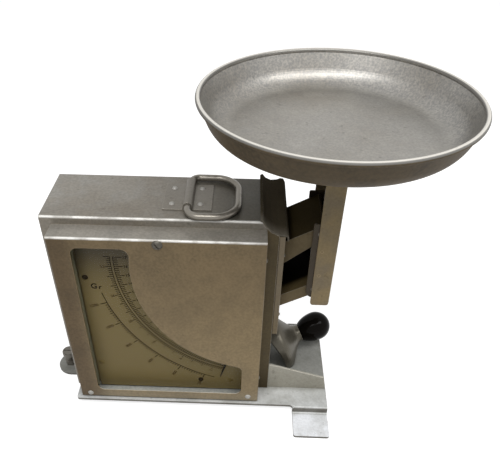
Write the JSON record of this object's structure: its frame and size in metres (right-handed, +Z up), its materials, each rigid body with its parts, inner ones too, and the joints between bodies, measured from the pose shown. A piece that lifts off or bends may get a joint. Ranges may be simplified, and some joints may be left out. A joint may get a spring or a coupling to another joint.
{
  "type": "weighing scale",
  "caption": "Inclination scale: sheet-metal case with arched dial window, parallelogram arms and post under a round dished pan, carrying ring, locking lever and levelling screw.",
  "frame": {"origin": "middle of the whole scale's outline, on the floor under its feet", "axes": "+X to the pan's side along the case's long side, +Y to the back, +Z up; the dial faces -Y"},
  "size_m": [0.398, 0.23, 0.3252],
  "materials": {
    "painted_steel_grey": "satin",
    "brushed_sheet": "brushed",
    "bright_sheet": "satin",
    "spun_pan": "spun",
    "dark_steel": "satin",
    "zinc_steel": "plated",
    "ring_steel": "polished",
    "brass_bush": "turned",
    "cast_weight": "as cast",
    "window_glass": "clear",
    "dial_paint": "satin",
    "needle_black": "matt",
    "knob_black": "gloss",
    "stop_rubber": "matt"
  },
  "bodies": {
    "frame": {"base_plate": "bright_sheet", "base_fasteners": "zinc_steel", "levelling_nut": "zinc_steel", "front_cheek": "bright_sheet", "rear_cheek": "bright_sheet", "cheek_spacers": "zinc_steel", "case_shell": "brushed_sheet", "rear_cover": "brushed_sheet", "rear_cover_screws": "zinc_steel", "side_rails": "bright_sheet", "rail_rivets": "zinc_steel", "hood": "painted_steel_grey", "front_cover": "brushed_sheet", "cover_rivets": "zinc_steel", "cover_screw": "zinc_steel", "cover_side_screws": "zinc_steel", "window_glass": "window_glass", "dial_plate": "dial_paint", "dial_rivets": "dark_steel", "pivot_bushes": "brass_bush", "rest_stop": "stop_rubber", "link_axle": "zinc_steel", "handle_strap": "bright_sheet", "strap_rivets": "zinc_steel", "shaft_collars": "zinc_steel", "lever_shaft": "zinc_steel"},
    "beam": {"upper_beam": "dark_steel", "beam_axle": "zinc_steel", "pendulum_rod": "zinc_steel", "counterweight": "cast_weight", "trim_nuts": "brass_bush", "pointer": "needle_black"},
    "lower_link": {"lower_link": "dark_steel"},
    "post": {"post_channel": "brushed_sheet", "post_strips": "zinc_steel", "post_pins": "zinc_steel", "post_rivets": "zinc_steel", "post_head": "zinc_steel", "pan_support": "zinc_steel"},
    "pan": {"pan": "spun_pan"},
    "handle": {"handle_ring": "ring_steel"},
    "lever": {"lock_lever": "brushed_sheet", "lock_knob": "knob_black"},
    "levelling_screw": {"levelling_screw": "zinc_steel"}
  },
  "joints": [
    {"name": "beam_swing", "type": "hinge", "parent": "frame", "child": "beam", "pos_m": [0.034, 0, 0.186], "axis": [0, 1, 0], "range_deg": [0, 68]},
    {"name": "link_swing", "type": "hinge", "parent": "frame", "child": "lower_link", "pos_m": [0.034, 0, 0.1225], "axis": [0, 1, 0], "range_deg": [0, 68]},
    {"name": "post_level", "type": "hinge", "parent": "beam", "child": "post", "pos_m": [0.08, 0, 0.211], "axis": [0, 1, 0], "range_deg": [-68, 0]},
    {"name": "pan_lift", "type": "slide", "parent": "post", "child": "pan", "axis": [0, 0, 1], "range_m": [0, 0.04]},
    {"name": "handle_fold", "type": "hinge", "parent": "frame", "child": "handle", "pos_m": [-0.0387, 0, 0.2316], "axis": [0, -1, 0], "range_deg": [0, 170]},
    {"name": "lever_lift", "type": "hinge", "parent": "frame", "child": "lever", "pos_m": [0.03, 0, 0.036], "axis": [0, 1, 0], "range_deg": [-24, 0]},
    {"name": "foot_turn", "type": "hinge", "parent": "frame", "child": "levelling_screw", "pos_m": [-0.1855, -0.002, 0.01], "axis": [0, 0, 1], "continuous": true}
  ],
  "couplings": [
    {"joint": "link_swing", "follows": "beam_swing", "ratio": 1},
    {"joint": "post_level", "follows": "beam_swing", "ratio": -1}
  ]
}
